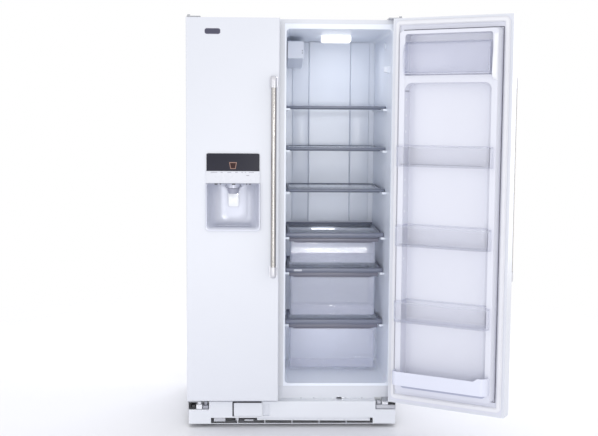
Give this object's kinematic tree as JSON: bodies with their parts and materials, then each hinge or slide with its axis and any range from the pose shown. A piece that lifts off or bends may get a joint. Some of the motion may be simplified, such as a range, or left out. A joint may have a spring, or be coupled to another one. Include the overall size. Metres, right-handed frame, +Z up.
{
  "type": "side by side refrigerator",
  "caption": "Upright two-door refrigerator with a freezer beside it, a door dispenser, tube handles, glass shelves, drawers and door bins, one door standing open.",
  "frame": {"origin": "on the floor under the middle of the cabinet", "axes": "+Z up, -Y towards the front, +X towards the refrigerator side"},
  "size_m": [1.3495, 1.1154, 1.753],
  "materials": {
    "white_enamel": "gloss",
    "zinc_steel": "satin",
    "black_steel": "satin",
    "foam": "matte",
    "liner_white": "satin",
    "trim_white": "gloss",
    "slate_trim": "satin",
    "clear_plastic": "gloss",
    "lens": "satin",
    "grey_plastic": "satin",
    "fan_plastic": "satin",
    "silver_plastic": "gloss",
    "display": "gloss",
    "gasket": "matte",
    "brushed_handle": "brushed",
    "hinge_steel": "satin",
    "aluminium_fins": "satin"
  },
  "bodies": {
    "cabinet": {"outer_cabinet": "white_enamel", "rear_panel": "zinc_steel", "machine_cover": "grey_plastic", "cabinet_foam": "foam", "refrigerator_liner": "liner_white", "freezer_liner": "liner_white", "mullion_trim": "white_enamel", "base_frame": "zinc_steel", "toe_grille": "trim_white", "levelling_legs": "zinc_steel", "top_hinges": "hinge_steel", "bottom_hinges": "hinge_steel", "compressor": "black_steel", "condenser_coil": "black_steel", "fan_motors": "black_steel", "water_valve": "grey_plastic", "cord_gland": "fan_plastic", "evaporator_coil": "aluminium_fins", "evaporator_cover": "liner_white", "rear_duct_panel": "liner_white", "air_damper_box": "liner_white", "ceiling_light_lens": "lens", "drawer_covers": "slate_trim", "ice_maker": "grey_plastic", "ice_bin": "clear_plastic", "freezer_shelves": "clear_plastic", "freezer_baskets": "trim_white"},
    "filter_flap": {"filter_flap": "trim_white"},
    "water_filter": {"water_filter": "trim_white"},
    "rear_rollers": {"rear_rollers": "fan_plastic"},
    "condenser_fan": {"condenser_fan": "fan_plastic"},
    "evaporator_fan": {"evaporator_fan": "fan_plastic"},
    "ice_auger": {"ice_auger": "hinge_steel"},
    "light_switch": {"light_switch": "trim_white"},
    "upper_shelf": {"upper_shelf": "slate_trim"},
    "middle_shelf": {"middle_shelf": "slate_trim"},
    "bottom_shelf": {"bottom_shelf": "slate_trim"},
    "snack_drawer": {"snack_drawer": "clear_plastic"},
    "crisper_drawer": {"crisper_drawer": "clear_plastic"},
    "lower_drawer": {"lower_drawer": "clear_plastic"},
    "humidity_slider": {"humidity_slider": "trim_white"},
    "freezer_door": {"freezer_door_skin": "white_enamel", "freezer_door_panel": "liner_white", "freezer_door_foam": "foam", "freezer_door_gasket": "gasket", "freezer_handle": "brushed_handle", "control_display": "display", "control_strip": "trim_white", "dispenser_cavity": "silver_plastic", "dispenser_chute": "grey_plastic", "freezer_door_bins": "clear_plastic"},
    "dispenser_paddle": {"dispenser_paddle": "trim_white"},
    "refrigerator_door": {"refrigerator_door_skin": "white_enamel", "refrigerator_door_panel": "liner_white", "refrigerator_door_foam": "foam", "refrigerator_door_gasket": "gasket", "refrigerator_handle": "brushed_handle", "refrigerator_door_bins": "clear_plastic", "door_shelf": "trim_white"},
    "dairy_cover": {"dairy_cover": "clear_plastic"}
  },
  "joints": [
    {"name": "refrigerator_door_hinge", "type": "hinge", "parent": "cabinet", "child": "refrigerator_door", "pos_m": [0.4392, -0.4126, 0.93], "axis": [0, 0, 1], "range_deg": [-150, 5]},
    {"name": "freezer_door_hinge", "type": "hinge", "parent": "cabinet", "child": "freezer_door", "pos_m": [-0.4392, -0.4126, 0.93], "axis": [0, 0, -1], "range_deg": [0, 150]},
    {"name": "dairy_cover_hinge", "type": "hinge", "parent": "refrigerator_door", "child": "dairy_cover", "pos_m": [0.61937, -0.61893, 1.628], "axis": [-0.866, 0.5, 0], "range_deg": [0, 80]},
    {"name": "snack_drawer_slide", "type": "slide", "parent": "cabinet", "child": "snack_drawer", "axis": [0, -1, 0], "range_m": [0, 0.22]},
    {"name": "crisper_drawer_slide", "type": "slide", "parent": "cabinet", "child": "crisper_drawer", "axis": [0, -1, 0], "range_m": [0, 0.25]},
    {"name": "lower_drawer_slide", "type": "slide", "parent": "cabinet", "child": "lower_drawer", "axis": [0, -1, 0], "range_m": [0, 0.16]},
    {"name": "upper_shelf_slide", "type": "slide", "parent": "cabinet", "child": "upper_shelf", "axis": [0, -1, 0], "range_m": [0, 0.12]},
    {"name": "middle_shelf_slide", "type": "slide", "parent": "cabinet", "child": "middle_shelf", "axis": [0, -1, 0], "range_m": [0, 0.12]},
    {"name": "bottom_shelf_slide", "type": "slide", "parent": "cabinet", "child": "bottom_shelf", "axis": [0, -1, 0], "range_m": [0, 0.12]},
    {"name": "humidity_slide", "type": "slide", "parent": "cabinet", "child": "humidity_slider", "axis": [1, 0, 0], "range_m": [0, 0.022]},
    {"name": "dispenser_paddle_hinge", "type": "hinge", "parent": "freezer_door", "child": "dispenser_paddle", "pos_m": [-0.2555, -0.362, 1.018], "axis": [1, 0, 0], "range_deg": [0, 8], "stiffness_Nm_per_rad": 0.6},
    {"name": "filter_flap_hinge", "type": "hinge", "parent": "cabinet", "child": "filter_flap", "pos_m": [-0.248, -0.394, 0.078], "axis": [0, 0, -1], "range_deg": [0, 110]},
    {"name": "water_filter_turn", "type": "hinge", "parent": "cabinet", "child": "water_filter", "pos_m": [-0.19075, -0.356, 0.078], "axis": [0, -1, 0], "range_deg": [0, 90]},
    {"name": "rear_roller_spin", "type": "hinge", "parent": "cabinet", "child": "rear_rollers", "pos_m": [0, 0.284, 0.022], "axis": [1, 0, 0], "continuous": true},
    {"name": "condenser_fan_spin", "type": "hinge", "parent": "cabinet", "child": "condenser_fan", "pos_m": [-0.04, 0.236, 0.15], "axis": [1, 0, 0], "continuous": true},
    {"name": "evaporator_fan_spin", "type": "hinge", "parent": "cabinet", "child": "evaporator_fan", "pos_m": [-0.25, 0.176, 0.98], "axis": [0, 1, 0], "continuous": true},
    {"name": "ice_auger_spin", "type": "hinge", "parent": "cabinet", "child": "ice_auger", "pos_m": [-0.25, -0.356, 1.238], "axis": [0, 1, 0], "continuous": true},
    {"name": "light_switch_travel", "type": "slide", "parent": "cabinet", "child": "light_switch", "axis": [0, 1, 0], "range_m": [0, 0.004], "stiffness_N_per_m": 120}
  ]
}
